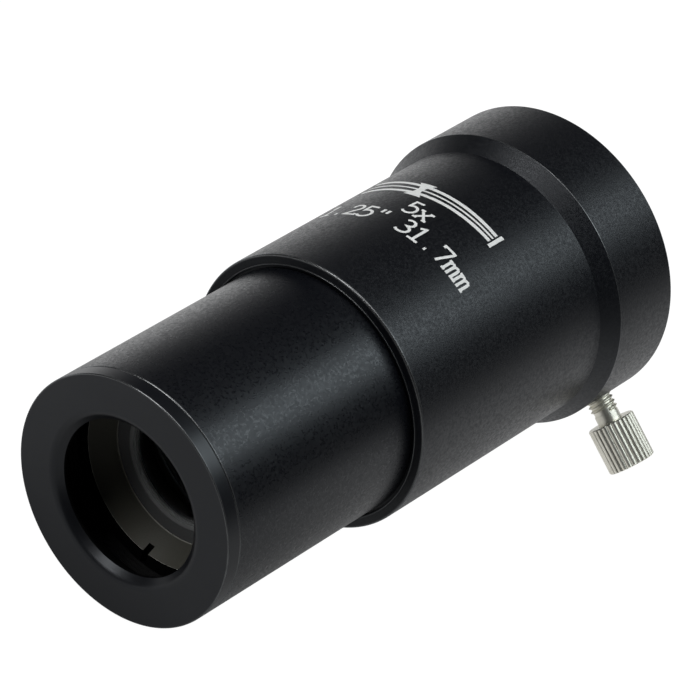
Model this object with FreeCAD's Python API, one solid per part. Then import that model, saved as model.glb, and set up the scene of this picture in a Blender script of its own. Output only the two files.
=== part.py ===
import FreeCAD, Part
import math
import os

# A 5x barlow lens for 1.25 inch telescope fittings, lying on its side.
#
# Millimetres. +X is the optical axis and runs from the nosepiece to the eyepiece socket.
# +Z is up. The origin is on the optical axis, in the plane of the shoulder where the
# nosepiece meets the body. Lengths along X are positions, and radii are from the X axis.

# Outside of the barrel
NOSE_RADIUS = 15.85
NOSE_LENGTH = 32.8
BODY_RADIUS = 17.6
BODY_LENGTH = 34.7
BEVEL_LENGTH = 2.15
COLLAR_RADIUS = 19.2
OVERALL_REAR = 47.3
FINE_EDGE = 0.2

# Eyepiece socket and the light path behind the lenses
SOCKET_RADIUS = 15.93
SOCKET_DEPTH = 34.0
SOCKET_LEAD_IN = 0.4
LIGHT_STOP_RADIUS = 13.2
NOSE_REAR_BORE = 12.6

# Joint between the nosepiece and the body
REAR_THREAD_RADIUS = 15.0
REAR_THREAD_END = 7.3
COUNTERBORE_RADIUS = 16.2
COUNTERBORE_DEPTH = 0.4
SHOULDER_EDGE = 0.3
THREAD_CLEARANCE = 0.05

# Front ring that closes the nosepiece
FRONT_FLANGE = 2.05
FRONT_HOLE_RADIUS = 9.9
FRONT_HOLE_BEVEL = 1.0
FRONT_LIP = 1.4
FRONT_SKIRT_END = -28.2
FRONT_SKIRT_BORE = 12.7
SEAM_EDGE = 0.25

# Thread inside the nosepiece, which takes the front ring and the retaining ring
FILTER_THREAD_RADIUS = 14.0

# Retaining ring that clamps the lens stack
RETAINER_FRONT = -25.15
RETAINER_MOUTH_RADIUS = 12.2
RETAINER_LAND_RADIUS = 10.15
NOTCH_WIDTH = 0.85
NOTCH_DEPTH = 1.0
NOTCH_COUNT = 2

# Lens stack: a cemented doublet, a spacer and a single negative lens.
# A curvature radius is positive where its centre lies towards +X.
LENS_FRONT = -22.0
LENS_RADIUS = 11.2
LENS_CLEARANCE = 0.05
POLISHED_RADIUS = 9.8
FRONT_CURVE = -200.0
CEMENT_CURVE = -40.0
DOUBLET_REAR_CURVE = 38.0
FLINT_CENTRE = 1.9
CROWN_CENTRE = 1.0
SPACER_LENGTH = 1.0
SPACER_BORE = 10.0
SINGLET_CURVE = 29.0
SINGLET_CENTRE = 1.5

# Cell that carries the lens stack
CELL_FRONT = -21.6
CELL_LIP_RADIUS = 10.0
CELL_LIP_LENGTH = 1.6

# Thumb screw: M3.5 x 0.6, radially through the collar. Its lengths are from the X axis.
SCREW_X = 43.35
SCREW_ANGLE_FROM_DOWN = 53.4
SCREW_RADIUS = 1.75
SCREW_PITCH = 0.6
SCREW_THREAD_DEPTH = 0.28
THREAD_START_ANGLE = -69
RIDGE_SINK = 0.04
SCREW_TIP = 16.85
SCREW_THREAD_END = 21.35
NECK_RADIUS = 1.58
KNOB_START = 22.55
KNOB_END = 28.6
KNOB_RADIUS = 3.08
KNURL_ROOT_RADIUS = 2.92
KNURL_RIBS = 26
KNURL_START_ANGLE = 12.7
KNOB_BEVEL = 0.15
HOLE_RADIUS = 1.8
COUNTERSINK = 0.25

# Soft pad in the screw's tip, which meets the eyepiece barrel
PAD_TIP = 16.05
PAD_RADIUS = 1.25
PAD_BEVEL = 0.25
PAD_GAP = 0.05
PAD_STEM_RADIUS = 0.6
PAD_STEM_END = 18.0
PAD_STEM_CLEARANCE = 0.05

ORIGIN = FreeCAD.Vector(0, 0, 0)
X_AXIS = FreeCAD.Vector(1, 0, 0)
Z_AXIS = FreeCAD.Vector(0, 0, 1)
FULL_TURN = 360


def turned(edges):
    """A solid of revolution about the X axis from the closed outline that the edges make."""
    outline = Part.Wire(Part.__sortEdges__(edges))
    return Part.Face(outline).revolve(ORIGIN, X_AXIS, FULL_TURN)


def section_point(x, radius):
    """A point of a turned outline, drawn in the XZ plane."""
    return FreeCAD.Vector(x, 0, radius)


def turned_from_corners(corners):
    """A solid of revolution about the X axis from the corners (x, radius) of its outline."""
    points = [section_point(x, radius) for x, radius in corners]
    sides = zip(points, points[1:] + points[:1])
    return turned([Part.makeLine(start, end) for start, end in sides])


def sag(curve, radius):
    """How far a lens surface has moved along X from its vertex, at a distance from the axis."""
    return curve - math.copysign(math.sqrt(curve ** 2 - radius ** 2), curve)


def lens_arc(vertex_x, curve, radius):
    """One polished surface as an arc from the axis out to a radius."""
    start = section_point(vertex_x, 0)
    middle = section_point(vertex_x + sag(curve, radius / 2), radius / 2)
    end = section_point(vertex_x + sag(curve, radius), radius)
    return Part.Arc(start, middle, end).toShape()


def lens(front_x, front_curve, front_radius, rear_x, rear_curve, rear_radius):
    """A lens from its two vertices. A surface narrower than the lens ends in a flat rim."""
    front = lens_arc(front_x, front_curve, front_radius)
    rear = lens_arc(rear_x, rear_curve, rear_radius)
    front_rim = section_point(front_x + sag(front_curve, front_radius), LENS_RADIUS)
    rear_rim = section_point(rear_x + sag(rear_curve, rear_radius), LENS_RADIUS)
    edges = [front, rear, Part.makeLine(front_rim, rear_rim)]
    edges.append(Part.makeLine(front.Vertexes[0].Point, rear.Vertexes[0].Point))
    if front_radius < LENS_RADIUS:
        edges.append(Part.makeLine(front.Vertexes[-1].Point, front_rim))
    if rear_radius < LENS_RADIUS:
        edges.append(Part.makeLine(rear.Vertexes[-1].Point, rear_rim))
    return turned(edges)


# Where the lens surfaces cross the axis, worked back from the stack's clamped front rim.
FRONT_VERTEX = LENS_FRONT - sag(FRONT_CURVE, LENS_RADIUS)
CEMENT_VERTEX = FRONT_VERTEX + FLINT_CENTRE
DOUBLET_REAR_VERTEX = CEMENT_VERTEX + CROWN_CENTRE
DOUBLET_REAR_RIM = DOUBLET_REAR_VERTEX + sag(DOUBLET_REAR_CURVE, POLISHED_RADIUS)
SINGLET_FRONT_RIM = DOUBLET_REAR_RIM + SPACER_LENGTH
SINGLET_FRONT_VERTEX = SINGLET_FRONT_RIM + sag(SINGLET_CURVE, POLISHED_RADIUS)
SINGLET_REAR_VERTEX = SINGLET_FRONT_VERTEX + SINGLET_CENTRE
SINGLET_REAR_RIM = SINGLET_REAR_VERTEX + sag(SINGLET_CURVE, POLISHED_RADIUS)
CELL_REAR = SINGLET_REAR_RIM + CELL_LIP_LENGTH

NOSE_FRONT = -NOSE_LENGTH
SEAM = NOSE_FRONT + FRONT_FLANGE
COLLAR_FRONT = BODY_LENGTH + BEVEL_LENGTH
SOCKET_FLOOR = OVERALL_REAR - SOCKET_DEPTH


def front_ring():
    """Threaded ring with the bevelled light opening that faces the telescope."""
    skirt = FILTER_THREAD_RADIUS - THREAD_CLEARANCE
    return turned_from_corners([
        (NOSE_FRONT, FRONT_HOLE_RADIUS + FRONT_HOLE_BEVEL),
        (NOSE_FRONT, NOSE_RADIUS - FINE_EDGE),
        (NOSE_FRONT + FINE_EDGE, NOSE_RADIUS),
        (SEAM, NOSE_RADIUS),
        (SEAM, skirt),
        (FRONT_SKIRT_END, skirt),
        (FRONT_SKIRT_END, FRONT_SKIRT_BORE),
        (NOSE_FRONT + FRONT_LIP, FRONT_SKIRT_BORE),
        (NOSE_FRONT + FRONT_LIP, FRONT_HOLE_RADIUS),
        (NOSE_FRONT + FRONT_HOLE_BEVEL, FRONT_HOLE_RADIUS),
    ])


def nosepiece_tube():
    """Barrel that slides into the telescope, threaded inside at the front and outside at the rear."""
    rear_thread = REAR_THREAD_RADIUS - THREAD_CLEARANCE
    return turned_from_corners([
        (SEAM, FILTER_THREAD_RADIUS),
        (SEAM, NOSE_RADIUS - SEAM_EDGE),
        (SEAM + SEAM_EDGE, NOSE_RADIUS),
        (COUNTERBORE_DEPTH - SHOULDER_EDGE, NOSE_RADIUS),
        (COUNTERBORE_DEPTH, NOSE_RADIUS - SHOULDER_EDGE),
        (COUNTERBORE_DEPTH, rear_thread),
        (REAR_THREAD_END, rear_thread),
        (REAR_THREAD_END, NOSE_REAR_BORE),
        (CELL_REAR, NOSE_REAR_BORE),
        (CELL_REAR, FILTER_THREAD_RADIUS),
    ])


def lens_retaining_ring():
    """Ring that clamps the lens stack, with a coned mouth and notches for a spanner."""
    outside = FILTER_THREAD_RADIUS - THREAD_CLEARANCE
    ring = turned_from_corners([
        (RETAINER_FRONT, RETAINER_MOUTH_RADIUS),
        (RETAINER_FRONT, outside),
        (LENS_FRONT, outside),
        (LENS_FRONT, RETAINER_LAND_RADIUS),
    ])
    for index in range(NOTCH_COUNT):
        notch = Part.makeBox(NOTCH_DEPTH, NOTCH_WIDTH, outside)
        notch.translate(FreeCAD.Vector(RETAINER_FRONT, -NOTCH_WIDTH / 2, RETAINER_LAND_RADIUS))
        notch.rotate(ORIGIN, X_AXIS, index * FULL_TURN / NOTCH_COUNT)
        ring = ring.cut(notch)
    return ring


def lens_cell():
    """Sleeve that centres the lenses and backs them with a lip."""
    outside = FILTER_THREAD_RADIUS - THREAD_CLEARANCE
    inside = LENS_RADIUS + LENS_CLEARANCE
    return turned_from_corners([
        (CELL_FRONT, inside),
        (CELL_FRONT, outside),
        (CELL_REAR, outside),
        (CELL_REAR, CELL_LIP_RADIUS),
        (SINGLET_REAR_RIM, CELL_LIP_RADIUS),
        (SINGLET_REAR_RIM, inside),
    ])


def flint_element():
    """Front half of the cemented doublet."""
    return lens(FRONT_VERTEX, FRONT_CURVE, LENS_RADIUS, CEMENT_VERTEX, CEMENT_CURVE, LENS_RADIUS)


def crown_element():
    """Rear half of the cemented doublet, hollowed to the rear inside a flat rim."""
    return lens(
        CEMENT_VERTEX, CEMENT_CURVE, LENS_RADIUS,
        DOUBLET_REAR_VERTEX, DOUBLET_REAR_CURVE, POLISHED_RADIUS,
    )


def lens_spacer_ring():
    """Ring that sets the air gap between the doublet and the rear lens."""
    return turned_from_corners([
        (DOUBLET_REAR_RIM, SPACER_BORE),
        (DOUBLET_REAR_RIM, LENS_RADIUS),
        (SINGLET_FRONT_RIM, LENS_RADIUS),
        (SINGLET_FRONT_RIM, SPACER_BORE),
    ])


def rear_lens_element():
    """Single lens, hollow on both sides inside flat rims."""
    return lens(
        SINGLET_FRONT_VERTEX, -SINGLET_CURVE, POLISHED_RADIUS,
        SINGLET_REAR_VERTEX, SINGLET_CURVE, POLISHED_RADIUS,
    )


def on_screw_axis(shape):
    """Takes a shape built about Z, with its lengths from the X axis, to the thumb screw's place."""
    shape.rotate(ORIGIN, X_AXIS, FULL_TURN / 2 - SCREW_ANGLE_FROM_DOWN)
    shape.translate(FreeCAD.Vector(SCREW_X, 0, 0))
    return shape


def main_body():
    """Body tube and its flared collar, turned from one bar, with the eyepiece socket."""
    barrel = turned_from_corners([
        (0, COUNTERBORE_RADIUS + FINE_EDGE),
        (0, BODY_RADIUS - FINE_EDGE),
        (FINE_EDGE, BODY_RADIUS),
        (BODY_LENGTH, BODY_RADIUS),
        (COLLAR_FRONT, COLLAR_RADIUS),
        (OVERALL_REAR - FINE_EDGE, COLLAR_RADIUS),
        (OVERALL_REAR, COLLAR_RADIUS - FINE_EDGE),
        (OVERALL_REAR, SOCKET_RADIUS + SOCKET_LEAD_IN),
        (OVERALL_REAR - SOCKET_LEAD_IN, SOCKET_RADIUS),
        (SOCKET_FLOOR, SOCKET_RADIUS),
        (SOCKET_FLOOR, LIGHT_STOP_RADIUS),
        (REAR_THREAD_END, LIGHT_STOP_RADIUS),
        (REAR_THREAD_END, REAR_THREAD_RADIUS),
        (COUNTERBORE_DEPTH, REAR_THREAD_RADIUS),
        (COUNTERBORE_DEPTH, COUNTERBORE_RADIUS),
        (FINE_EDGE, COUNTERBORE_RADIUS),
    ])
    hole = Part.makeCylinder(HOLE_RADIUS, KNOB_START - PAD_TIP + 1)
    hole.translate(Z_AXIS * (PAD_TIP - 1))
    countersink = Part.makeCone(HOLE_RADIUS, HOLE_RADIUS + 2 * COUNTERSINK, 2 * COUNTERSINK)
    countersink.translate(Z_AXIS * (COLLAR_RADIUS - COUNTERSINK))
    return barrel.cut(on_screw_axis(hole.fuse(countersink)))


def screw_thread():
    """Threaded length of the thumb screw: a root cylinder with a real helical ridge."""
    length = SCREW_THREAD_END - SCREW_TIP
    root_radius = SCREW_RADIUS - SCREW_THREAD_DEPTH
    core = Part.makeCylinder(root_radius, length)
    half_root = SCREW_PITCH * 7 / 16
    half_crest = SCREW_PITCH / 16
    ridge_section = Part.makePolygon([
        FreeCAD.Vector(root_radius - RIDGE_SINK, 0, -half_root),
        FreeCAD.Vector(SCREW_RADIUS, 0, -half_crest),
        FreeCAD.Vector(SCREW_RADIUS, 0, half_crest),
        FreeCAD.Vector(root_radius - RIDGE_SINK, 0, half_root),
        FreeCAD.Vector(root_radius - RIDGE_SINK, 0, -half_root),
    ])
    helix = Part.makeHelix(SCREW_PITCH, length - SCREW_PITCH, root_radius)
    ridge = Part.Wire(helix).makePipeShell([ridge_section], True, True)
    ridge.rotate(ORIGIN, Z_AXIS, THREAD_START_ANGLE)
    ridge.translate(Z_AXIS * SCREW_PITCH / 2)
    thread = core.fuse(ridge)
    thread.translate(Z_AXIS * SCREW_TIP)
    return thread


def knurled_knob():
    """Knob whose straight knurl is a ring of rounded ribs with sharp roots."""
    step = 2 * math.pi / KNURL_RIBS
    ribs = []
    for index in range(KNURL_RIBS):
        angles = (index * step, (index + 0.5) * step, (index + 1) * step)
        radii = (KNURL_ROOT_RADIUS, KNOB_RADIUS, KNURL_ROOT_RADIUS)
        points = [
            FreeCAD.Vector(radius * math.cos(angle), radius * math.sin(angle), KNOB_START)
            for radius, angle in zip(radii, angles)
        ]
        ribs.append(Part.Arc(*points).toShape())
    length = KNOB_END - KNOB_START
    ribbed = Part.Face(Part.Wire(ribs)).extrude(Z_AXIS * length)
    ribbed.rotate(ORIGIN, Z_AXIS, KNURL_START_ANGLE)
    blank = Part.makeCylinder(KNOB_RADIUS, length)
    blank = blank.makeChamfer(KNOB_BEVEL, blank.Edges[:1] + blank.Edges[2:])
    blank.translate(Z_AXIS * KNOB_START)
    return ribbed.common(blank)


def thumb_screw():
    """Screw that clamps the eyepiece: knurled knob, plain neck and threaded shank in one piece."""
    neck = Part.makeCylinder(NECK_RADIUS, KNOB_START - SCREW_THREAD_END)
    neck.translate(Z_AXIS * SCREW_THREAD_END)
    screw = knurled_knob().fuse([neck, screw_thread()])
    socket_length = PAD_STEM_END + PAD_GAP - SCREW_TIP
    pad_socket = Part.makeCylinder(PAD_STEM_RADIUS + PAD_STEM_CLEARANCE, socket_length)
    pad_socket.translate(Z_AXIS * SCREW_TIP)
    return on_screw_axis(screw.cut(pad_socket))


def screw_tip_pad():
    """Plastic pad whose stem sits in the screw's tip, so that the screw turns behind it."""
    disc = Part.makeCylinder(PAD_RADIUS, SCREW_TIP - PAD_GAP - PAD_TIP)
    disc = disc.makeChamfer(PAD_BEVEL, disc.Edges[2:])
    disc.translate(Z_AXIS * PAD_TIP)
    stem = Part.makeCylinder(PAD_STEM_RADIUS, PAD_STEM_END - PAD_TIP - PAD_BEVEL)
    stem.translate(Z_AXIS * (PAD_TIP + PAD_BEVEL))
    return on_screw_axis(disc.fuse(stem))


PIECES = [
    front_ring,
    nosepiece_tube,
    lens_retaining_ring,
    lens_cell,
    flint_element,
    crown_element,
    lens_spacer_ring,
    rear_lens_element,
    main_body,
    thumb_screw,
    screw_tip_pad,
]

os.makedirs("parts", exist_ok=True)
for piece in PIECES:
    solid = piece().Solids[0]
    solid.exportStep(f"parts/{piece.__name__}.step")
    print(piece.__name__, solid.isValid(), round(solid.Volume, 2))
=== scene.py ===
import math

import bmesh
import bpy
from mathutils import Matrix, Vector

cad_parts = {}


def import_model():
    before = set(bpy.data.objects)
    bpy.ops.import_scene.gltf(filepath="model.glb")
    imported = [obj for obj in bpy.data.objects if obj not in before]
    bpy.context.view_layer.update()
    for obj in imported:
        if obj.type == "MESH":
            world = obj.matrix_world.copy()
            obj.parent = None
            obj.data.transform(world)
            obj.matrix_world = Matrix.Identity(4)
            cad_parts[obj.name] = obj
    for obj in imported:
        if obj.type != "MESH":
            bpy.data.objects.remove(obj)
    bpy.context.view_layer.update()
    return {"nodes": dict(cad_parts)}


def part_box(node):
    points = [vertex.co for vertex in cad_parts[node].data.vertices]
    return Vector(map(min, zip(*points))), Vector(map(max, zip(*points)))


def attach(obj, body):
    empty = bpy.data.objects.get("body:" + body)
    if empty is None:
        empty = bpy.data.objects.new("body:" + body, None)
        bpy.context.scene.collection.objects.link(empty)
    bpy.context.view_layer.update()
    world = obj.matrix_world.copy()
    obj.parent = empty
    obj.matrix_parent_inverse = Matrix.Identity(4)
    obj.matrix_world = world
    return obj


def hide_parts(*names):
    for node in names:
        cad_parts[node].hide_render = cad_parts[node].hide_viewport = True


# A 5x barlow lens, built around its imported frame. Metres. +X is the optical axis, from the
# nosepiece to the eyepiece socket, and +Z is up. X is 0 at the body's shoulder. A radius is
# measured from the X axis, and an angle round the barrel is measured from +Z towards -Y.

MM = 0.001
MICRON = 0.001 * MM

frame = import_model()
scene = bpy.context.scene


# ---------------------------------------------------------------- sizes

def span(node):
    """A turned node's first and last X, and its outside radius."""
    low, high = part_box(node)
    return low.x, high.x, high.z


NOSE_FRONT, SKIRT_END, NOSE_RADIUS = span("front_ring")
RING_SEAM, TUBE_REAR, _ = span("nosepiece_tube")
SHOULDER, BODY_REAR, COLLAR_RADIUS = span("main_body")
RETAINER_FRONT, RETAINER_REAR, RETAINER_RADIUS = span("lens_retaining_ring")
CELL_FRONT, CELL_REAR, CELL_RADIUS = span("lens_cell")
SPACER_FRONT, SPACER_REAR, SPACER_RADIUS = span("lens_spacer_ring")
REAR_LENS_FRONT, REAR_LENS_REAR, _ = span("rear_lens_element")
DOUBLET_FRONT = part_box("flint_element")[0].x
DOUBLET_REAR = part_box("crown_element")[1].x

HOLE_RADIUS = 9.9 * MM
HOLE_BEVEL = 1.0 * MM
FRONT_LIP = 1.4 * MM
SKIRT_BORE = 12.7 * MM
THREAD_RADIUS = 14.0 * MM
THREAD_GAP = 0.05 * MM
THREAD_PITCH = 0.6 * MM
THREAD_DEPTH = 0.3 * MM
TUBE_REAR_BEVEL = 0.3 * MM
TUBE_REAR_BORE = 12.6 * MM

BODY_RADIUS = 17.6 * MM
BEVEL_START = 34.7 * MM
BEVEL_END = 36.85 * MM
COUNTERBORE_RADIUS = 16.2 * MM
COUNTERBORE_FLOOR = 0.4 * MM
RIM_WIDTH = 0.22 * MM
RIM_HEIGHT = 0.14 * MM
REAR_THREAD_RADIUS = 15.0 * MM
REAR_THREAD_END = 7.3 * MM
LIGHT_STOP_RADIUS = 13.2 * MM
SOCKET_RADIUS = 15.93 * MM
SOCKET_FLOOR = BODY_REAR - 34.0 * MM
SOCKET_LEAD_IN = 0.4 * MM

RETAINER_MOUTH_RADIUS = 12.2 * MM
RETAINER_LAND_RADIUS = 10.15 * MM
NOTCH_WIDTH = 0.85 * MM
NOTCH_DEPTH = 1.0 * MM
CELL_BORE = 11.25 * MM
CELL_LIP_RADIUS = 10.0 * MM
SPACER_BORE = 10.0 * MM

LENS_RADIUS = 11.2 * MM
LENS_EDGE = 0.12 * MM
POLISHED_RADIUS = 9.8 * MM
# The doublet's front is frosted grey from here out to its rim: ground glass at the very rim, and
# further in a painted reflection of the polished face.
FRONT_POLISHED_RADIUS = 8.5 * MM
DOUBLET_FRONT_CURVE = -200.0 * MM
DOUBLET_REAR_CURVE = 38.0 * MM
REAR_LENS_CURVE = 29.0 * MM
# Near each lens's rim the glass turns grey and partly opaque, up to this share: a painted sheen for the
# polished face's reflection.
PAINTED_SHEEN = 0.7
PAINTED_SHEEN_WIDTH = 1.5 * MM

SCREW_X = 43.35 * MM
SCREW_ANGLE = math.radians(180 - 53.4)
SCREW_HOLE_RADIUS = 1.8 * MM
COUNTERSINK = 0.25 * MM

# The radii that corners are rounded to. Out of sight, one small radius does for all.
SMALL_ROUND = 0.04 * MM
FINE_ROUND = 0.06 * MM
CRISP_ROUND = 0.08 * MM
CELL_ROUND = 0.10 * MM
HOLE_ROUND = 1.20 * MM
FACE_ROUND = 0.20 * MM
RING_SEAM_ROUND = 0.12 * MM
TUBE_SEAM_ROUND = 0.25 * MM
RIM_ROUND = 0.14 * MM
SHOULDER_ROUND = 0.30 * MM
BEVEL_START_ROUND = 0.12 * MM
BEVEL_END_ROUND = 0.16 * MM
COLLAR_ROUND = 0.26 * MM
SOCKET_FLOOR_ROUND = 0.20 * MM
LAND_ROUND = 0.16 * MM


# ---------------------------------------------------------------- materials

SMOOTH = "SMOOTHSTEP"
NOISE_RANGE = (0.3, 0.7)
COOL_SHEEN = (0.91, 0.95, 1.0, 1.0)
EDGE_METAL = (0.18, 0.184, 0.188)
# Pale colour painted on the lens mounts' outer edges as a highlight.
PAINTED_EDGE_HIGHLIGHT = (0.60, 0.60, 0.54)
GROUND_GLASS_AND_SHEEN = (0.125, 0.128, 0.128)
DUST = (0.12, 0.118, 0.10)
TARNISH = (0.56, 0.54, 0.45)


class Nodes:
    """A material's or world's node tree, with short calls for the nodes used here."""

    def __init__(self, owner):
        owner.use_nodes = True
        self.owner = owner
        self.tree = owner.node_tree
        self.shader = self.tree.nodes.get("Principled BSDF")

    def set(self, **values):
        """Sets constants on the shader's inputs, with _ for a space in a name."""
        for key, value in values.items():
            self.shader.inputs[key.replace("_", " ")].default_value = value

    def give(self, name, value):
        """Links a node's output to one of the shader's inputs."""
        self.link(value, self.shader.inputs[name])

    def add(self, kind):
        return self.tree.nodes.new(kind)

    def link(self, source, target):
        self.tree.links.new(source, target)

    def position(self):
        return self.add("ShaderNodeTexCoord").outputs["Object"]

    def stretched(self, scale):
        """Position scaled by (x, y, z), for a grain that runs one way."""
        node = self.add("ShaderNodeMapping")
        node.inputs["Scale"].default_value = scale
        self.link(self.position(), node.inputs["Vector"])
        return node.outputs["Vector"]

    def noise(self, scale, detail=2.0, roughness=0.5, vector=None):
        node = self.add("ShaderNodeTexNoise")
        node.inputs["Scale"].default_value = scale
        node.inputs["Detail"].default_value = detail
        node.inputs["Roughness"].default_value = roughness
        self.link(vector or self.position(), node.inputs["Vector"])
        return node.outputs["Fac"]

    def ramp(self, value, ends, results, shape="LINEAR"):
        """Maps the value between two ends to the range between two results, and no further."""
        node = self.add("ShaderNodeMapRange")
        node.interpolation_type = shape
        node.inputs["From Min"].default_value = ends[0]
        node.inputs["From Max"].default_value = ends[1]
        node.inputs["To Min"].default_value = results[0]
        node.inputs["To Max"].default_value = results[1]
        self.link(value, node.inputs["Value"])
        return node.outputs["Result"]

    def maths(self, operation, first, second):
        node = self.add("ShaderNodeMath")
        node.operation = operation
        for value, socket in zip((first, second), node.inputs):
            if isinstance(value, (int, float)):
                socket.default_value = value
            else:
                self.link(value, socket)
        return node.outputs["Value"]

    def mix_colour(self, factor, first, second):
        """Blends two colours, each a triple or another node's output."""
        node = self.add("ShaderNodeMix")
        node.data_type = "RGBA"
        for value, socket in zip((first, second), (node.inputs[6], node.inputs[7])):
            if isinstance(value, tuple):
                socket.default_value = (*value, 1)
            else:
                self.link(value, socket)
        self.link(factor, node.inputs[0])
        return node.outputs[2]

    def along(self, vector, direction):
        """How far a vector reaches in a direction."""
        node = self.add("ShaderNodeVectorMath")
        node.operation = "DOT_PRODUCT"
        self.link(vector, node.inputs[0])
        node.inputs[1].default_value = direction
        return node.outputs["Value"]

    def edge(self):
        """1 on the rounded outer edges of the turned pieces and on ground glass, part way up near a
        lens's rim where a sheen is painted, 0 elsewhere.
        """
        node = self.add("ShaderNodeAttribute")
        node.attribute_name = "edge"
        return node.outputs["Fac"]

    def bump(self, height, distance):
        node = self.add("ShaderNodeBump")
        node.inputs["Strength"].default_value = 1.0
        node.inputs["Distance"].default_value = distance
        self.link(height, node.inputs["Height"])
        self.give("Normal", node.outputs["Normal"])


def new_material(name):
    return Nodes(bpy.data.materials.new(name))


def with_worn_edges(n, colour, roughness, polish):
    """Gives a black finish its colour and roughness, and patchy bare metal on its outer edges."""
    patches = n.ramp(n.noise(700.0, detail=2.0, roughness=0.5), (0.3, 0.6), (0.7, 1.0))
    edge_mark = n.maths("MULTIPLY", n.edge(), patches)
    smoother = n.maths("SUBTRACT", 1.0, n.maths("MULTIPLY", edge_mark, polish))
    n.give("Base Color", n.mix_colour(edge_mark, colour, EDGE_METAL))
    n.give("Metallic", edge_mark)
    n.give("Roughness", n.maths("MULTIPLY", roughness, smoother))


def anodised_black(name, smoothest, roughest):
    """Black anodising over bead blasting: a fine grain, and edges that handling has polished."""
    n = new_material(name)
    n.set(IOR=1.5, Specular_Tint=COOL_SHEEN)
    grain = n.noise(7000.0, detail=3.0, roughness=0.6)
    mottle = n.noise(2600.0, detail=3.0, roughness=0.7)
    speckle = n.ramp(mottle, (0.48, 0.70), (0, 1))
    colour = n.mix_colour(speckle, (0.0012, 0.0016, 0.0034), (0.0042, 0.0048, 0.0068))
    with_worn_edges(n, colour, n.ramp(mottle, (0.36, 0.64), (roughest, smoothest)), polish=0.6)
    n.bump(grain, 20 * MICRON)
    return n.owner


def turned_black():
    """Satin black face with the faint rings that a lathe tool leaves."""
    n = new_material("satin_black_turned")
    n.set(IOR=1.5, Specular_Tint=COOL_SHEEN)
    rings = n.noise(1.0, detail=3.0, roughness=0.7, vector=n.stretched((26000.0, 300.0, 300.0)))
    grain = n.noise(6000.0, detail=2.0, roughness=0.6)
    colour = n.mix_colour(grain, (0.0014, 0.0018, 0.0036), (0.0044, 0.0048, 0.0068))
    with_worn_edges(n, colour, n.ramp(rings, NOISE_RANGE, (0.29, 0.40)), polish=0.5)
    n.bump(n.maths("ADD", grain, rings), 3 * MICRON)
    return n.owner


def dull_finish(name, dark, pale, index):
    """Dull finish of the lens mounts, dusty in places and with a painted highlight on its outer edges.
    """
    n = new_material(name)
    n.set(IOR=index)
    grain = n.noise(7000.0, detail=3.0, roughness=0.6)
    dust = n.ramp(n.noise(900.0, detail=4.0, roughness=0.7), (0.6, 0.8), (0, 0.3))
    dusty = n.mix_colour(dust, n.mix_colour(grain, dark, pale), DUST)
    # The outer edges are given a pale colour: a painted highlight, where those edges catch the light.
    n.give("Base Color", n.mix_colour(n.edge(), dusty, PAINTED_EDGE_HIGHLIGHT))
    n.give("Roughness", n.ramp(grain, NOISE_RANGE, (0.36, 0.50)))
    n.bump(grain, 6 * MICRON)
    return n.owner


def matt_black():
    """Flat black paint inside the light path, also laid on the retaining ring's front and notches as
    painted shade.
    """
    n = new_material("matt_black_paint_and_shade")
    n.set(IOR=1.5, Specular_IOR_Level=0.1)
    grain = n.noise(5000.0, detail=3.0, roughness=0.6)
    n.give("Base Color", n.mix_colour(grain, (0.0006, 0.0006, 0.0008), (0.0020, 0.0020, 0.0022)))
    n.give("Roughness", n.ramp(grain, NOISE_RANGE, (0.55, 0.70)))
    n.bump(grain, 6 * MICRON)
    return n.owner


def nickel():
    """Bright nickel plate with a fine grain and patches of tarnish."""
    n = new_material("nickel_plate")
    n.set(Metallic=0.8)
    grain = n.noise(5200.0, detail=3.0, roughness=0.6)
    patches = n.ramp(n.noise(620.0, detail=4.0, roughness=0.65), (0.45, 0.75), (0, 0.5))
    bright = n.mix_colour(grain, (0.87, 0.85, 0.745), (0.96, 0.94, 0.85))
    n.give("Base Color", n.mix_colour(patches, bright, TARNISH))
    n.give("Roughness", n.ramp(grain, NOISE_RANGE, (0.28, 0.38)))
    n.bump(grain, 0.8 * MICRON)
    return n.owner


def coated_glass(name, tint):
    """Clear optical glass whose thin coating colours what it reflects, frosted where it is ground, and
    greyed towards its rim as a painted sheen.
    """
    n = new_material(name)
    n.set(IOR=1.62, Thin_Film_Thickness=104.0, Thin_Film_IOR=1.38)
    film = n.noise(420.0, detail=3.0, roughness=0.6)
    clear = n.mix_colour(film, tint, (0.97, 0.985, 0.98))
    polish = n.ramp(film, (0.4, 0.8), (0.0, 0.02))
    n.give("Base Color", n.mix_colour(n.edge(), clear, GROUND_GLASS_AND_SHEEN))
    n.give("Roughness", n.maths("ADD", polish, n.maths("MULTIPLY", n.edge(), 0.6)))
    n.give("Transmission Weight", n.maths("SUBTRACT", 1.0, n.edge()))
    return n.owner


def nylon():
    """Natural nylon, off-white and slightly grainy."""
    n = new_material("natural_nylon")
    grain = n.noise(3000.0, detail=3.0, roughness=0.6)
    n.give("Base Color", n.mix_colour(grain, (0.74, 0.72, 0.65), (0.82, 0.80, 0.74)))
    n.give("Roughness", n.ramp(grain, NOISE_RANGE, (0.4, 0.55)))
    n.bump(grain, 6 * MICRON)
    return n.owner


def printed_ink():
    """White pad-printed ink, slightly thin at its grain's hollows."""
    n = new_material("white_printed_ink")
    grain = n.noise(6500.0, detail=3.0, roughness=0.65)
    cover = n.ramp(grain, (0.25, 0.5), (0, 1))
    n.give("Base Color", n.mix_colour(cover, (0.78, 0.78, 0.77), (0.95, 0.95, 0.94)))
    n.give("Roughness", n.ramp(grain, NOISE_RANGE, (0.4, 0.6)))
    n.bump(grain, 4 * MICRON)
    return n.owner


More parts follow.
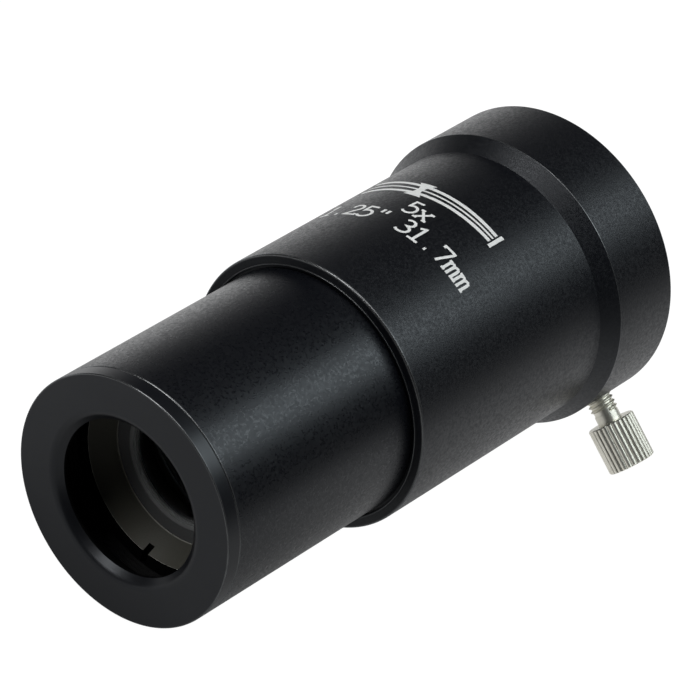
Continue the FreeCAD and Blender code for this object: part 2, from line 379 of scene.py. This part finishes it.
NOSE_BLACK = anodised_black("bead_blasted_black", 0.24, 0.44)
BODY_BLACK = anodised_black("bead_blasted_black_body", 0.29, 0.50)
TURNED = turned_black()
DULL = dull_finish("dull_black_mount", (0.0050, 0.0050, 0.0042), (0.0095, 0.0093, 0.0078), 1.5)
OLIVE = dull_finish("dull_olive_ring", (0.074, 0.073, 0.060), (0.108, 0.105, 0.088), 1.3)
MATT = matt_black()
NICKEL = nickel()
FRONT_GLASS = coated_glass("coated_front_glass", (0.90, 0.95, 0.95))
INNER_GLASS = coated_glass("coated_inner_glass", (0.93, 0.97, 0.95))
NYLON = nylon()
INK = printed_ink()


# ---------------------------------------------------------------- turning and cutting

SEGMENTS = 192
ARC_STEPS = 5
LENS_STEPS = 24
UNWORN = "unworn"
LONGEST_ARC = 0.45
SUPPORT = 0.02 * MM
LENS_SUPPORT = 0.01 * MM
SAME_PLACE = 0.0001 * MM
CREASE = math.radians(40)
CUT_MARGIN = 1.0 * MM
FACES_FRONT = -0.9
FACES_SIDE = 0.999


def rounded(outline):
    """The closed outline's corners (x, radius, rounding) as points (x, radius, edge).

    edge rises to 1 in the middle of a convex corner's arc, and stays 0 in a corner marked
    UNWORN. On the black pieces it marks wear, and on the dull mounts a painted highlight.
    A point close to each end of an arc keeps the flat beside it flat when the piece
    is smooth shaded.
    """
    corners = [Vector((x, r)) for x, r, *_ in outline]
    area = sum(a.cross(b) for a, b in zip(corners, corners[1:] + corners[:1]))
    points = []
    for index, (corner, (_, _, rounding, *mark)) in enumerate(zip(corners, outline)):
        back = corners[index - 1] - corner
        ahead = corners[(index + 1) % len(corners)] - corner
        reach = rounding / math.tan(back.angle(ahead) / 2)
        reach = min(reach, LONGEST_ARC * back.length, LONGEST_ARC * ahead.length)
        edge_mark = back.cross(ahead) * area < 0 and UNWORN not in mark
        start = corner + back.normalized() * reach
        end = corner + ahead.normalized() * reach
        points.append((*(start + back.normalized() * SUPPORT), 0.0))
        for step in range(ARC_STEPS + 1):
            t = step / ARC_STEPS
            place = start * (1 - t) ** 2 + corner * 2 * t * (1 - t) + end * t ** 2
            points.append((*place, 4 * t * (1 - t) if edge_mark else 0.0))
        points.append((*(end + ahead.normalized() * SUPPORT), 0.0))
    return points


def around(x, radius, angle):
    """The place at an angle round the barrel."""
    return Vector((x, -radius * math.sin(angle), radius * math.cos(angle)))


def from_axis(place):
    return math.hypot(place.y, place.z)


def turned(name, outline, material):
    """A closed solid of revolution about the X axis, with rounded corners."""
    return revolved(name, rounded(outline), material)


def revolved(name, points, material, closed=True):
    """Points (x, radius, edge) turned about the X axis. An open row begins and ends on the axis."""
    verts = []
    for segment in range(SEGMENTS):
        angle = 2 * math.pi * segment / SEGMENTS
        verts += [around(x, radius, angle) for x, radius, _ in points]
    count = len(points)
    faces = []
    for segment in range(SEGMENTS):
        here = segment * count
        there = (segment + 1) % SEGMENTS * count
        for index in range(count if closed else count - 1):
            following = (index + 1) % count
            faces.append((here + index, here + following, there + following, there + index))
    mesh = bpy.data.meshes.new(name)
    mesh.from_pydata(verts, [], faces)
    edge = mesh.attributes.new("edge", "FLOAT", "POINT")
    edge.data.foreach_set("value", [point[2] for point in points] * SEGMENTS)
    ob = finished(mesh, material, merge=SAME_PLACE)
    mesh.shade_smooth()
    return ob


def finished(mesh, material, merge=0.0):
    """An object from the mesh, with its faces outward and points closer than merge joined."""
    worker = bmesh.new()
    worker.from_mesh(mesh)
    if merge:
        bmesh.ops.remove_doubles(worker, verts=worker.verts, dist=merge)
    bmesh.ops.recalc_face_normals(worker, faces=worker.faces)
    worker.to_mesh(mesh)
    worker.free()
    mesh.materials.append(material)
    ob = bpy.data.objects.new(mesh.name, mesh)
    scene.collection.objects.link(ob)
    return ob


def cut_away(ob, cutter):
    """Takes the cutter's space out of the object, keeping sharp edges sharp."""
    modifier = ob.modifiers.new("cut", "BOOLEAN")
    modifier.operation = "DIFFERENCE"
    modifier.solver = "EXACT"
    modifier.object = cutter
    bpy.context.view_layer.update()
    result = bpy.data.meshes.new_from_object(ob.evaluated_get(bpy.context.evaluated_depsgraph_get()))
    ob.modifiers.clear()
    ob.data = result
    result.set_sharp_from_angle(angle=CREASE)
    bpy.data.objects.remove(cutter)


def second_finish(ob, material, chosen):
    """Gives the faces whose centre and normal are chosen another material."""
    ob.data.materials.append(material)
    for face in ob.data.polygons:
        if chosen(face.center, face.normal):
            face.material_index = len(ob.data.materials) - 1
    return ob


# ---------------------------------------------------------------- barrel pieces

def front_ring():
    skirt = THREAD_RADIUS - THREAD_GAP
    inside = skirt - THREAD_GAP
    ring = turned("front_ring_visual", [
        (NOSE_FRONT, HOLE_RADIUS + HOLE_BEVEL, HOLE_ROUND, UNWORN),
        (NOSE_FRONT, NOSE_RADIUS, FACE_ROUND),
        (RING_SEAM, NOSE_RADIUS, RING_SEAM_ROUND, UNWORN),
        (RING_SEAM, skirt, SMALL_ROUND),
        (SKIRT_END, skirt, SMALL_ROUND),
        (SKIRT_END, SKIRT_BORE, SMALL_ROUND),
        (NOSE_FRONT + FRONT_LIP, SKIRT_BORE, SMALL_ROUND),
        (NOSE_FRONT + FRONT_LIP, HOLE_RADIUS, SMALL_ROUND),
        (NOSE_FRONT + HOLE_BEVEL, HOLE_RADIUS, CRISP_ROUND, UNWORN),
    ], TURNED)
    return second_finish(ring, MATT, lambda centre, _: (
        centre.x > NOSE_FRONT + HOLE_BEVEL and from_axis(centre) < inside))


def thread_grooves():
    """The nosepiece's inside thread where no ring covers it, as a row of V grooves."""
    room = RETAINER_FRONT - SKIRT_END
    count = int(room / THREAD_PITCH)
    corners = []
    for index in range(count, 0, -1):
        groove = SKIRT_END + (index - 0.5) * room / count
        corners.append((groove + THREAD_PITCH / 2, THREAD_RADIUS, 0))
        corners.append((groove, THREAD_RADIUS + THREAD_DEPTH, 0))
    corners.append((SKIRT_END, THREAD_RADIUS, 0))
    return corners


def nosepiece_tube():
    rear_thread = REAR_THREAD_RADIUS - THREAD_GAP
    inside = THREAD_RADIUS + 2 * THREAD_DEPTH
    tube = turned("nosepiece_tube_visual", [
        (RING_SEAM, THREAD_RADIUS, SMALL_ROUND),
        (RING_SEAM, NOSE_RADIUS, TUBE_SEAM_ROUND),
        (COUNTERBORE_FLOOR - TUBE_REAR_BEVEL, NOSE_RADIUS, FINE_ROUND),
        (COUNTERBORE_FLOOR, NOSE_RADIUS - TUBE_REAR_BEVEL, SMALL_ROUND),
        (COUNTERBORE_FLOOR, rear_thread, SMALL_ROUND),
        (TUBE_REAR, rear_thread, SMALL_ROUND),
        (TUBE_REAR, TUBE_REAR_BORE, SMALL_ROUND),
        (CELL_REAR, TUBE_REAR_BORE, SMALL_ROUND),
        (CELL_REAR, THREAD_RADIUS, SMALL_ROUND),
        *thread_grooves(),
    ], NOSE_BLACK)
    return second_finish(tube, MATT, lambda centre, _: from_axis(centre) < inside)


def screw_hole():
    """Cutter for the thumb screw's hole and its countersink."""
    inner_end = SOCKET_RADIUS - CUT_MARGIN
    outer_end = COLLAR_RADIUS + COUNTERSINK
    cutter = revolved("screw_hole", [
        (inner_end, 0, 0),
        (inner_end, SCREW_HOLE_RADIUS, 0),
        (COLLAR_RADIUS - COUNTERSINK, SCREW_HOLE_RADIUS, 0),
        (outer_end, SCREW_HOLE_RADIUS + 2 * COUNTERSINK, 0),
        (outer_end, 0, 0),
    ], BODY_BLACK, closed=False)
    onto_z = Matrix.Rotation(-math.pi / 2, 4, "Y")
    turn = Matrix.Rotation(SCREW_ANGLE, 4, "X")
    cutter.matrix_world = Matrix.Translation((SCREW_X, 0, 0)) @ turn @ onto_z
    return cutter


def main_body():
    rim_radius = COUNTERBORE_RADIUS + RIM_WIDTH
    body = turned("main_body_visual", [
        (SHOULDER, COUNTERBORE_RADIUS, CRISP_ROUND, UNWORN),
        (SHOULDER, rim_radius, RIM_ROUND),
        (SHOULDER + RIM_HEIGHT, rim_radius, SMALL_ROUND),
        (SHOULDER + RIM_HEIGHT, BODY_RADIUS, SHOULDER_ROUND),
        (BEVEL_START, BODY_RADIUS, BEVEL_START_ROUND),
        (BEVEL_END, COLLAR_RADIUS, BEVEL_END_ROUND),
        (BODY_REAR, COLLAR_RADIUS, COLLAR_ROUND),
        (BODY_REAR, SOCKET_RADIUS + SOCKET_LEAD_IN, CRISP_ROUND),
        (BODY_REAR - SOCKET_LEAD_IN, SOCKET_RADIUS, CRISP_ROUND),
        (SOCKET_FLOOR, SOCKET_RADIUS, SOCKET_FLOOR_ROUND),
        (SOCKET_FLOOR, LIGHT_STOP_RADIUS, CRISP_ROUND),
        (REAR_THREAD_END, LIGHT_STOP_RADIUS, SMALL_ROUND),
        (REAR_THREAD_END, REAR_THREAD_RADIUS, SMALL_ROUND),
        (COUNTERBORE_FLOOR, REAR_THREAD_RADIUS, SMALL_ROUND),
        (COUNTERBORE_FLOOR, COUNTERBORE_RADIUS, SMALL_ROUND),
    ], BODY_BLACK)
    cut_away(body, screw_hole())
    return body


def spanner_notches():
    """Cutter for the two notches: a bar right across the retaining ring's front."""
    worker = bmesh.new()
    bmesh.ops.create_cube(worker, size=1)
    size = Vector((2 * NOTCH_DEPTH, NOTCH_WIDTH, 2 * RETAINER_RADIUS + CUT_MARGIN))
    bmesh.ops.scale(worker, vec=size, verts=worker.verts)
    mesh = bpy.data.meshes.new("notches")
    worker.to_mesh(mesh)
    worker.free()
    cutter = bpy.data.objects.new("notches", mesh)
    cutter.location.x = RETAINER_FRONT
    scene.collection.objects.link(cutter)
    return cutter


def lens_retaining_ring():
    ring = turned("lens_retaining_ring_visual", [
        (RETAINER_FRONT, RETAINER_MOUTH_RADIUS, FINE_ROUND),
        (RETAINER_FRONT, RETAINER_RADIUS, SMALL_ROUND),
        (RETAINER_REAR, RETAINER_RADIUS, SMALL_ROUND),
        (RETAINER_REAR, RETAINER_LAND_RADIUS, LAND_ROUND),
    ], OLIVE)
    cut_away(ring, spanner_notches())

    # The front face and the notches take the matt black: painted shade, for they lie in shadow.
    def shaded_front_or_notch(centre, normal):
        near = centre.x < RETAINER_FRONT + 2 * NOTCH_DEPTH
        return near and (normal.x < FACES_FRONT or abs(normal.y) > FACES_SIDE)

    return second_finish(ring, MATT, shaded_front_or_notch)


def lens_cell():
    return turned("lens_cell_visual", [
        (CELL_FRONT, CELL_BORE, SMALL_ROUND),
        (CELL_FRONT, CELL_RADIUS, SMALL_ROUND),
        (CELL_REAR, CELL_RADIUS, CELL_ROUND),
        (CELL_REAR, CELL_LIP_RADIUS, CELL_ROUND),
        (REAR_LENS_REAR, CELL_LIP_RADIUS, SMALL_ROUND),
        (REAR_LENS_REAR, CELL_BORE, SMALL_ROUND),
    ], DULL)


def lens_spacer_ring():
    return turned("lens_spacer_ring_visual", [
        (SPACER_FRONT, SPACER_BORE, SMALL_ROUND),
        (SPACER_FRONT, SPACER_RADIUS, SMALL_ROUND),
        (SPACER_REAR, SPACER_RADIUS, SMALL_ROUND),
        (SPACER_REAR, SPACER_BORE, SMALL_ROUND),
    ], DULL)


def sag(curve, radius):
    """How far a lens surface has moved along X from its vertex, at a distance from the axis."""
    return curve - math.copysign(math.sqrt(curve ** 2 - radius ** 2), curve)


def polished(rim_x, curve, radius):
    """edge greys the last of the way out to the rim, as a painted sheen for the polished face's
    reflection.
    """
    vertex = rim_x - sag(curve, radius)
    reach = [radius * step / LENS_STEPS for step in range(LENS_STEPS + 1)]
    rim_sheen = [max(0.0, 1 - (radius - r) / PAINTED_SHEEN_WIDTH) * PAINTED_SHEEN for r in reach]
    return [(vertex + sag(curve, r), r, edge) for r, edge in zip(reach, rim_sheen)]


def ground(corners):
    """The frosted outline between two polished surfaces, with its corners kept crisp."""
    points = []
    for start, end in zip(corners, corners[1:]):
        start, end = Vector(start), Vector(end)
        inset = (end - start).normalized() * LENS_SUPPORT
        points += [(*start, 1.0), (*(start + inset), 1.0), (*(end - inset), 1.0)]
    return points + [(*corners[-1], 1.0)]


def lens(name, front, rear, material):
    """A lens from its two surfaces, each a rim's x, a curve and a polished radius."""
    (front_x, _, front_radius), (rear_x, _, rear_radius) = front, rear
    shoulder = LENS_RADIUS - LENS_EDGE
    outline = ground([
        (front_x, front_radius + LENS_SUPPORT),
        (front_x, shoulder + 2 * LENS_SUPPORT),
        (front_x + LENS_EDGE, LENS_RADIUS),
        (rear_x - LENS_EDGE, LENS_RADIUS),
        (rear_x, shoulder),
        (rear_x, rear_radius + LENS_SUPPORT),
    ])
    points = polished(*front) + outline + polished(*rear)[::-1]
    return revolved(name, points, material, closed=False)


def cemented_doublet():
    return lens(
        "cemented_doublet_visual",
        (DOUBLET_FRONT, DOUBLET_FRONT_CURVE, FRONT_POLISHED_RADIUS),
        (DOUBLET_REAR, DOUBLET_REAR_CURVE, POLISHED_RADIUS),
        FRONT_GLASS,
    )


def rear_lens():
    return lens(
        "rear_lens_visual",
        (REAR_LENS_FRONT, -REAR_LENS_CURVE, POLISHED_RADIUS),
        (REAR_LENS_REAR, REAR_LENS_CURVE, POLISHED_RADIUS),
        INNER_GLASS,
    )


def stands_for(ob, material_slot, *nodes):
    """Puts a visual piece of the barrel in the place of CAD nodes."""
    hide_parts(*nodes)
    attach(ob, "barrel")


stands_for(front_ring(), "satin_black_anodised", "front_ring")
stands_for(nosepiece_tube(), "black_anodised_aluminium", "nosepiece_tube")
stands_for(main_body(), "black_anodised_aluminium", "main_body")
stands_for(lens_retaining_ring(), "blackened_aluminium", "lens_retaining_ring")
stands_for(lens_cell(), "blackened_aluminium", "lens_cell")
stands_for(lens_spacer_ring(), "blackened_aluminium", "lens_spacer_ring")
stands_for(cemented_doublet(), "coated_glass", "flint_element", "crown_element")
stands_for(rear_lens(), "coated_glass", "rear_lens_element")


# ---------------------------------------------------------------- printed marks

# Strokes are in mm: along the print, then along X.
PRINT_RADIUS = BODY_RADIUS
INK_TOP = 0.014 * MM
INK_SINK = 0.03 * MM
INK_STEP = 0.35 * MM
INK_LAYER = 0.0004 * MM
INK_LAYERS = 7
SHARPEST_MITRE = 0.625
DOUBLED_BACK = 1e-6
GLYPH_WIDTH = 1.02

RAY_STROKE = 0.52
AXIS_STROKE = 0.30
LENS_PLACE = 0.40
LENS_ROWS = 10
LENS_WAIST = 0.42
LENS_FLARE = 0.80
FOCUS_INSET = 0.9
BAR_INSET = 0.4
# Distances from the diagram's axis, as shares of its height.
RAY_START = 0.43
RAY_AT_LENS = 0.30
RAY_END = 0.21
BAR_REACH = 0.42

# Each character's strokes, in its own height: to the right, then up.
GLYPHS = {
    "5": [[(.52, 1), (.13, 1), (.09, .56), (.2, .62), (.33, .64), (.46, .59), (.55, .47),
           (.57, .33), (.53, .17), (.42, .05), (.28, 0), (.13, .03), (.03, .13)]],
    "x": [[(.05, .64), (.55, 0)], [(.55, .64), (.05, 0)], [(-.04, .64), (.17, .64)],
          [(.43, .64), (.64, .64)], [(-.04, 0), (.17, 0)], [(.43, 0), (.64, 0)]],
    "1": [[(.1, .84), (.32, 1), (.32, 0)], [(.06, 0), (.58, 0)]],
    ".": [[(.27, .05), (.37, .05)], [(.27, .0), (.37, .0)]],
    "2": [[(.06, .74), (.08, .87), (.18, .97), (.3, 1), (.43, .96), (.52, .85), (.53, .72),
           (.47, .58), (.3, .37), (.06, .04), (.58, .04), (.58, .16)]],
    '"': [[(.2, 1), (.18, .7)], [(.44, 1), (.42, .7)]],
    "3": [[(.08, .9), (.18, .98), (.3, 1), (.43, .95), (.5, .83), (.5, .7), (.42, .58),
           (.26, .54), (.42, .5), (.54, .4), (.57, .27), (.52, .12), (.4, .03), (.25, 0),
           (.12, .03), (.03, .1)]],
    "7": [[(.05, .86), (.05, 1), (.56, 1), (.56, .92), (.28, 0)]],
    "m": [[(-.02, .6), (.08, .6), (.08, 0)],
          [(.08, .46), (.15, .57), (.22, .6), (.29, .55), (.31, .44), (.31, 0)],
          [(.31, .46), (.38, .57), (.46, .6), (.53, .55), (.55, .44), (.55, 0)],
          [(-.02, 0), (.17, 0)], [(.24, 0), (.38, 0)], [(.48, 0), (.65, 0)]],
}


def along_print(degrees):
    """How far along the print, in mm, an angle round the barrel is."""
    return math.radians(degrees) * PRINT_RADIUS / MM


def text_strokes(text, start_angle, advance, base_x, height, width):
    """Strokes (points, width) of a line of characters."""
    strokes = []
    for index, character in enumerate(text):
        left = along_print(start_angle) + index * advance
        for stroke in GLYPHS.get(character, []):
            points = [(left + u * height * GLYPH_WIDTH, base_x + w * height) for u, w in stroke]
            strokes.append((points, width))
    return strokes


def diagram_strokes(start_angle, end_angle, base_x, height):
    """Two rays that close on a lens hollow on both sides, then close more slowly to a bar."""
    left = along_print(start_angle)
    right = along_print(end_angle)
    middle = base_x + height / 2
    lens_place = left + LENS_PLACE * (right - left)
    focus = right - FOCUS_INSET
    strokes = [([(left, middle), (focus, middle)], AXIS_STROKE)]
    for side in (-height, height):
        outer = middle + side * RAY_START
        waist = middle + side * RAY_AT_LENS
        end = middle + side * RAY_END
        strokes.append(([(left, outer), (lens_place, waist)], RAY_STROKE))
        strokes.append(([(lens_place, waist), (focus, end)], RAY_STROKE))
    for step in range(-LENS_ROWS, LENS_ROWS + 1):
        share = step / LENS_ROWS
        half = LENS_WAIST + LENS_FLARE * share ** 2
        row = middle + share * height / 2
        strokes.append(([(lens_place - half, row), (lens_place + half, row)], height / (2 * LENS_ROWS)))
    bar_place = right - BAR_INSET
    bar = BAR_REACH * height
    strokes.append(([(bar_place, middle - bar), (bar_place, middle + bar)], RAY_STROKE))
    return strokes


def spaced(points):
    """The stroke's points, with more between them so that it follows the barrel round."""
    dense = [Vector(points[0])]
    for start, end in zip(points, points[1:]):
        start, end = Vector(start), Vector(end)
        steps = max(1, math.ceil((end - start).length * MM / INK_STEP))
        dense += [start.lerp(end, step / steps) for step in range(1, steps + 1)]
    return dense


def square_to(way):
    return Vector((-way.y, way.x))


def stroke_sides(points, width):
    """The stroke's left and right side at each of its points, mitred where it turns."""
    rows = []
    for index, point in enumerate(points):
        before = point - points[index - 1] if index else points[1] - point
        after = points[index + 1] - point if index + 1 < len(points) else before
        before, after = before.normalized(), after.normalized()
        side = square_to(before + after)
        if side.length < DOUBLED_BACK:
            side = square_to(before)
        side.normalize()
        reach = width / 2 / max(SHARPEST_MITRE, side.dot(square_to(before)))
        rows.append((point + side * reach, point - side * reach))
    return rows


def ribbon(verts, faces, points, width, top):
    """Adds a flat-topped stroke, from just inside the barrel's surface to its top above it."""
    rows = stroke_sides(spaced(points), width)
    first = len(verts)
    for left, right in rows:
        for place, height in ((left, top), (right, top), (right, -INK_SINK), (left, -INK_SINK)):
            verts.append(around(place.y * MM, PRINT_RADIUS + height, place.x * MM / PRINT_RADIUS))
    last = first + (len(rows) - 1) * 4
    for row in range(first, last, 4):
        for side in range(4):
            following = (side + 1) % 4
            faces.append((row + side, row + following, row + following + 4, row + side + 4))
    faces.append((first, first + 3, first + 2, first + 1))
    faces.append((last, last + 1, last + 2, last + 3))


def printed(name, strokes):
    """A printed mark. Its strokes' tops differ a little in height, so that none coincide."""
    verts, faces = [], []
    for index, (points, width) in enumerate(strokes):
        ribbon(verts, faces, points, width, INK_TOP + INK_LAYER * (index % INK_LAYERS))
    mesh = bpy.data.meshes.new(name)
    mesh.from_pydata(verts, [], faces)
    ob = finished(mesh, INK)
    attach(ob, "barrel")


printed("printed_ray_diagram", diagram_strokes(
    start_angle=-48.4, end_angle=20.0, base_x=21.4, height=3.3))
printed("printed_magnification", text_strokes(
    "5x", start_angle=-16.4, advance=2.0, base_x=17.35, height=2.85, width=0.36))
printed("printed_barrel_size", text_strokes(
    '1.25" 31.7mm', start_angle=-48.4, advance=1.98, base_x=13.43, height=2.95, width=0.38))


# ---------------------------------------------------------------- CAD nodes shown as they are

def paint(node, material):
    mesh = frame["nodes"][node].data
    mesh.materials.clear()
    mesh.materials.append(material)


paint("thumb_screw", NICKEL)
paint("screw_tip_pad", NYLON)


# ---------------------------------------------------------------- floor, light and camera

BARREL_MIDDLE = Vector((0.007, 0, 0))
CAMERA_PLACE = Vector((-0.377487, -0.219599, 0.356674))
CAMERA_FORWARD = Vector((0.678701, 0.387647, -0.623775))
CAMERA_UP = Vector((0.373485, 0.549136, 0.747635))
FIELD_MM = 36.0
FOCAL_MM = 244.33
NEAREST_SEEN = 0.01
FURTHEST_SEEN = 20.0

FLOOR_SIZE = 3.0
FLOOR_GAP = 0.02 * MM

# What the object sees of the room, where the camera sees plain white. The floor's glow is
# (beside the barrel) x (along it), less a shadow left of the nosepiece. Each fade runs between
# two places on the floor, across from the barrel's line or along from the collar's front edge.
FLOOR_NEAR = 0.40
FLOOR_RIGHT = 0.12
FLOOR_LEFT_FRONT = 0.30
FLOOR_LEFT_REAR = 0.22
FLOOR_FRONT = 0.60
FLOOR_AHEAD = 0.24
FLOOR_REAR = 1.65
SHADOW = 0.9
RIGHT_FADE = (-0.170, -0.020)
LEFT_FADE = (0.010, 0.060)
LEFT_ALONG_FADE = (-0.025, 0.0)
ALONG_FADE = (-0.060, 0.020)
AHEAD_FADE = (-0.082, -0.070)
SHADOW_LEFT_FADE = (0.010, 0.022)
SHADOW_FRONT_FADE = (-0.078, -0.066)
SHADOW_REAR_FADE = (-0.050, -0.038)

BACKDROP = 0.45
ROOM = 0.03
BACKDROP_WAY = (0.88, 0.47, 0.0)
BACKDROP_SIDE_FADE = (0.5, 0.8)
BACKDROP_TOP_FADE = (0.02, 0.42)


def facing(place, axes):
    """The transform of something at a place, with its X, Y and Z along three given axes."""
    return Matrix.Translation(place) @ Matrix(axes).transposed().to_4x4()


def camera():
    data = bpy.data.cameras.new("camera")
    data.sensor_width = FIELD_MM
    data.lens = FOCAL_MM
    data.clip_start = NEAREST_SEEN
    data.clip_end = FURTHEST_SEEN
    ob = bpy.data.objects.new("camera", data)
    back = -CAMERA_FORWARD.normalized()
    right = CAMERA_UP.cross(back).normalized()
    ob.matrix_world = facing(CAMERA_PLACE, (right, back.cross(right), back))
    scene.collection.objects.link(ob)
    scene.camera = ob


def softbox(name, direction, distance, length, width, glow, colour=(1, 1, 1)):
    """A rectangular lamp that faces the barrel, with its length lying as near to X as it can.

    glow is its brightness as the object sees it.
    """
    data = bpy.data.lights.new(name, "AREA")
    data.shape = "RECTANGLE"
    data.size = length
    data.size_y = width
    data.energy = glow * math.pi * length * width
    data.color = colour
    ob = bpy.data.objects.new(name, data)
    back = Vector(direction).normalized()
    along = (Vector((1, 0, 0)) - back * back.x).normalized()
    ob.matrix_world = facing(BARREL_MIDDLE + back * distance, (along, back.cross(along), back))
    scene.collection.objects.link(ob)


def camera_or_other(n, lit):
    """1 for what the camera looks at, and lit for light that bounces."""
    seen = n.add("ShaderNodeLightPath").outputs["Is Camera Ray"]
    choice = n.add("ShaderNodeMix")
    n.link(seen, choice.inputs[0])
    n.link(lit, choice.inputs[2])
    choice.inputs[3].default_value = 1.0
    return choice.outputs[0]


def floor_glow(n):
    """How brightly the object sees each place on the floor."""
    along = n.along(n.position(), (1, 0, 0))
    across = n.along(n.position(), (0, 1, 0))
    right = n.ramp(across, RIGHT_FADE, (FLOOR_RIGHT, FLOOR_NEAR), SMOOTH)
    left = n.maths(
        "MULTIPLY",
        n.ramp(across, LEFT_FADE, (0, 1), SMOOTH),
        n.ramp(along, LEFT_ALONG_FADE, (FLOOR_LEFT_FRONT, FLOOR_LEFT_REAR)),
    )
    lengthwise = n.maths(
        "ADD",
        n.ramp(along, ALONG_FADE, (FLOOR_FRONT, FLOOR_REAR), SMOOTH),
        n.ramp(along, AHEAD_FADE, (FLOOR_AHEAD, 0), SMOOTH),
    )
    shadow_side = n.ramp(across, SHADOW_LEFT_FADE, (0, 1), SMOOTH)
    shadow_front = n.ramp(along, SHADOW_FRONT_FADE, (0, 1), SMOOTH)
    shadow_rear = n.ramp(along, SHADOW_REAR_FADE, (SHADOW, 0), SMOOTH)
    shadow = n.maths("MULTIPLY", shadow_side, n.maths("MULTIPLY", shadow_front, shadow_rear))
    bright = n.maths("MULTIPLY", n.maths("ADD", right, left), lengthwise)
    return n.maths("MULTIPLY", bright, n.maths("SUBTRACT", 1.0, shadow))


def floor():
    """A white table, tilted so that the body's shoulder and the collar both rest on it."""
    pitch = math.atan2(COLLAR_RADIUS - BODY_RADIUS, BEVEL_END)
    bpy.ops.mesh.primitive_plane_add(size=FLOOR_SIZE)
    ob = bpy.context.object
    ob.name = "floor"
    ob.rotation_euler = (0, pitch, 0)
    touch = Vector((BEVEL_END, 0, -COLLAR_RADIUS))
    normal = Matrix.Rotation(pitch, 3, "Y") @ Vector((0, 0, 1))
    ob.location = touch - normal * FLOOR_GAP
    n = new_material("white_table")
    n.set(Roughness=0.7, IOR=1.0, Emission_Color=(1, 1, 1, 1))
    n.give("Base Color", n.mix_colour(n.noise(3.0), (0.10, 0.10, 0.10), (0.11, 0.11, 0.11)))
    n.give("Emission Strength", camera_or_other(n, floor_glow(n)))
    ob.data.materials.append(n.owner)


def world():
    """White behind the object, and for reflections a dark room with one bright low backdrop."""
    scene.world = bpy.data.worlds.new("studio")
    n = Nodes(scene.world)
    background = n.tree.nodes["Background"]
    direction = n.add("ShaderNodeTexCoord").outputs["Generated"]
    toward = n.ramp(n.along(direction, BACKDROP_WAY), BACKDROP_SIDE_FADE, (0, 1), SMOOTH)
    low = n.ramp(n.along(direction, (0, 0, 1)), BACKDROP_TOP_FADE, (BACKDROP - ROOM, 0), SMOOTH)
    glow = n.maths("ADD", n.maths("MULTIPLY", toward, low), ROOM)
    n.link(camera_or_other(n, glow), background.inputs["Strength"])
    background.inputs["Color"].default_value = (1, 1, 1, 1)


floor()
world()
softbox("softbox_main", direction=(0.38, -0.49, 0.775), distance=0.65,
        length=0.72, width=0.25, glow=2.95, colour=(0.90, 0.98, 1.0))
softbox("softbox_top", direction=(-0.57, 0.41, 0.71), distance=0.7,
        length=0.44, width=0.25, glow=4.6)
softbox("softbox_zenith", direction=(0.0, 0.05, 1.0), distance=0.8,
        length=0.40, width=0.40, glow=3.0)
camera()
scene.view_settings.view_transform = "Standard"
